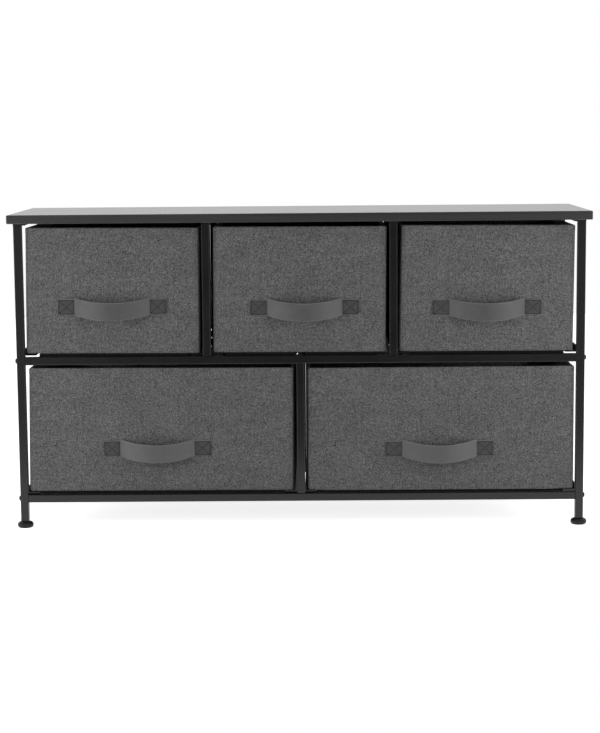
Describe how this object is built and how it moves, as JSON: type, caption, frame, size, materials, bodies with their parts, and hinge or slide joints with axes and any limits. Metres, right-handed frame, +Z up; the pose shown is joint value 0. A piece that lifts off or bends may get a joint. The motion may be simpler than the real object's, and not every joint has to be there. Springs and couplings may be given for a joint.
{
  "type": "fabric drawer dresser",
  "caption": "Low wide dresser: open black tube frame with a laminated top board, fabric drawers on L-shaped runners with strap handles, and screw-in feet.",
  "frame": {"origin": "on the floor, under the middle of the whole object with its handles", "axes": "+X to the right seen from the front, -Y towards the front with the handles, +Z up"},
  "size_m": [1, 0.314, 0.545],
  "materials": {
    "black_laminate": "dark satin laminate on engineered board",
    "black_powder_coat": "fine satin powder coat",
    "blackened_steel": "blackened, slightly glossy",
    "zinc_steel": "zinc plated",
    "black_plastic": "matte moulded",
    "grey_linen": "heathered linen-look weave",
    "stiffener_board": "plain pressed board",
    "grey_strap": "smooth satin imitation leather with dark stitching"
  },
  "bodies": {
    "frame": {"top_panel": "black_laminate", "left_front_post": "black_powder_coat", "left_rear_post": "black_powder_coat", "left_top_tie": "black_powder_coat", "left_upper_runner": "black_powder_coat", "left_lower_runner": "black_powder_coat", "upper_left_divider_front_post": "black_powder_coat", "upper_left_divider_rear_post": "black_powder_coat", "upper_left_divider_top_tie": "black_powder_coat", "upper_left_divider_runners": "black_powder_coat", "right_front_post": "black_powder_coat", "right_rear_post": "black_powder_coat", "right_top_tie": "black_powder_coat", "right_upper_runner": "black_powder_coat", "right_lower_runner": "black_powder_coat", "upper_right_divider_front_post": "black_powder_coat", "upper_right_divider_rear_post": "black_powder_coat", "upper_right_divider_top_tie": "black_powder_coat", "upper_right_divider_runners": "black_powder_coat", "front_mid_rail": "black_powder_coat", "front_bottom_rail": "black_powder_coat", "lower_divider_front_post": "black_powder_coat", "rear_mid_rail": "black_powder_coat", "rear_bottom_rail": "black_powder_coat", "lower_divider_rear_post": "black_powder_coat", "lower_divider_runners": "black_powder_coat", "frame_bolts": "blackened_steel", "divider_bolts": "blackened_steel", "top_panel_screws": "blackened_steel", "rail_plugs": "zinc_steel", "divider_plugs": "zinc_steel", "leg_plugs": "zinc_steel"},
    "left_front_foot_stud": {"left_front_foot_stud": "zinc_steel"},
    "left_front_foot_pad": {"left_front_foot_pad": "black_plastic"},
    "left_rear_foot_stud": {"left_rear_foot_stud": "zinc_steel"},
    "left_rear_foot_pad": {"left_rear_foot_pad": "black_plastic"},
    "right_front_foot_stud": {"right_front_foot_stud": "zinc_steel"},
    "right_front_foot_pad": {"right_front_foot_pad": "black_plastic"},
    "right_rear_foot_stud": {"right_rear_foot_stud": "zinc_steel"},
    "right_rear_foot_pad": {"right_rear_foot_pad": "black_plastic"},
    "upper_left_drawer": {"upper_left_drawer_fabric": "grey_linen", "upper_left_drawer_wall_boards": "stiffener_board", "upper_left_drawer_base_board": "stiffener_board", "upper_left_drawer_handle": "grey_strap"},
    "upper_middle_drawer": {"upper_middle_drawer_fabric": "grey_linen", "upper_middle_drawer_wall_boards": "stiffener_board", "upper_middle_drawer_base_board": "stiffener_board", "upper_middle_drawer_handle": "grey_strap"},
    "upper_right_drawer": {"upper_right_drawer_fabric": "grey_linen", "upper_right_drawer_wall_boards": "stiffener_board", "upper_right_drawer_base_board": "stiffener_board", "upper_right_drawer_handle": "grey_strap"},
    "lower_left_drawer": {"lower_left_drawer_fabric": "grey_linen", "lower_left_drawer_wall_boards": "stiffener_board", "lower_left_drawer_base_board": "stiffener_board", "lower_left_drawer_handle": "grey_strap"},
    "lower_right_drawer": {"lower_right_drawer_fabric": "grey_linen", "lower_right_drawer_wall_boards": "stiffener_board", "lower_right_drawer_base_board": "stiffener_board", "lower_right_drawer_handle": "grey_strap"}
  },
  "joints": [
    {"name": "left_front_foot_travel", "type": "slide", "parent": "frame", "child": "left_front_foot_stud", "axis": [0, 0, -1], "range_m": [0, 0.01]},
    {"name": "left_front_foot_turn", "type": "hinge", "parent": "left_front_foot_stud", "child": "left_front_foot_pad", "pos_m": [-0.483, -0.12803, 0], "axis": [0, 0, -1], "range_deg": [0, 3600]},
    {"name": "left_rear_foot_travel", "type": "slide", "parent": "frame", "child": "left_rear_foot_stud", "axis": [0, 0, -1], "range_m": [0, 0.01]},
    {"name": "left_rear_foot_turn", "type": "hinge", "parent": "left_rear_foot_stud", "child": "left_rear_foot_pad", "pos_m": [-0.483, 0.14197, 0], "axis": [0, 0, -1], "range_deg": [0, 3600]},
    {"name": "right_front_foot_travel", "type": "slide", "parent": "frame", "child": "right_front_foot_stud", "axis": [0, 0, -1], "range_m": [0, 0.01]},
    {"name": "right_front_foot_turn", "type": "hinge", "parent": "right_front_foot_stud", "child": "right_front_foot_pad", "pos_m": [0.483, -0.12803, 0], "axis": [0, 0, -1], "range_deg": [0, 3600]},
    {"name": "right_rear_foot_travel", "type": "slide", "parent": "frame", "child": "right_rear_foot_stud", "axis": [0, 0, -1], "range_m": [0, 0.01]},
    {"name": "right_rear_foot_turn", "type": "hinge", "parent": "right_rear_foot_stud", "child": "right_rear_foot_pad", "pos_m": [0.483, 0.14197, 0], "axis": [0, 0, -1], "range_deg": [0, 3600]},
    {"name": "upper_left_drawer_slide", "type": "slide", "parent": "frame", "child": "upper_left_drawer", "axis": [0, -1, 0], "range_m": [0, 0.24]},
    {"name": "upper_middle_drawer_slide", "type": "slide", "parent": "frame", "child": "upper_middle_drawer", "axis": [0, -1, 0], "range_m": [0, 0.24]},
    {"name": "upper_right_drawer_slide", "type": "slide", "parent": "frame", "child": "upper_right_drawer", "axis": [0, -1, 0], "range_m": [0, 0.24]},
    {"name": "lower_left_drawer_slide", "type": "slide", "parent": "frame", "child": "lower_left_drawer", "axis": [0, -1, 0], "range_m": [0, 0.24]},
    {"name": "lower_right_drawer_slide", "type": "slide", "parent": "frame", "child": "lower_right_drawer", "axis": [0, -1, 0], "range_m": [0, 0.24]}
  ],
  "couplings": [
    {"joint": "left_front_foot_travel", "follows": "left_front_foot_turn", "m_per_rad": 0.00015915},
    {"joint": "left_rear_foot_travel", "follows": "left_rear_foot_turn", "m_per_rad": 0.00015915},
    {"joint": "right_front_foot_travel", "follows": "right_front_foot_turn", "m_per_rad": 0.00015915},
    {"joint": "right_rear_foot_travel", "follows": "right_rear_foot_turn", "m_per_rad": 0.00015915}
  ]
}
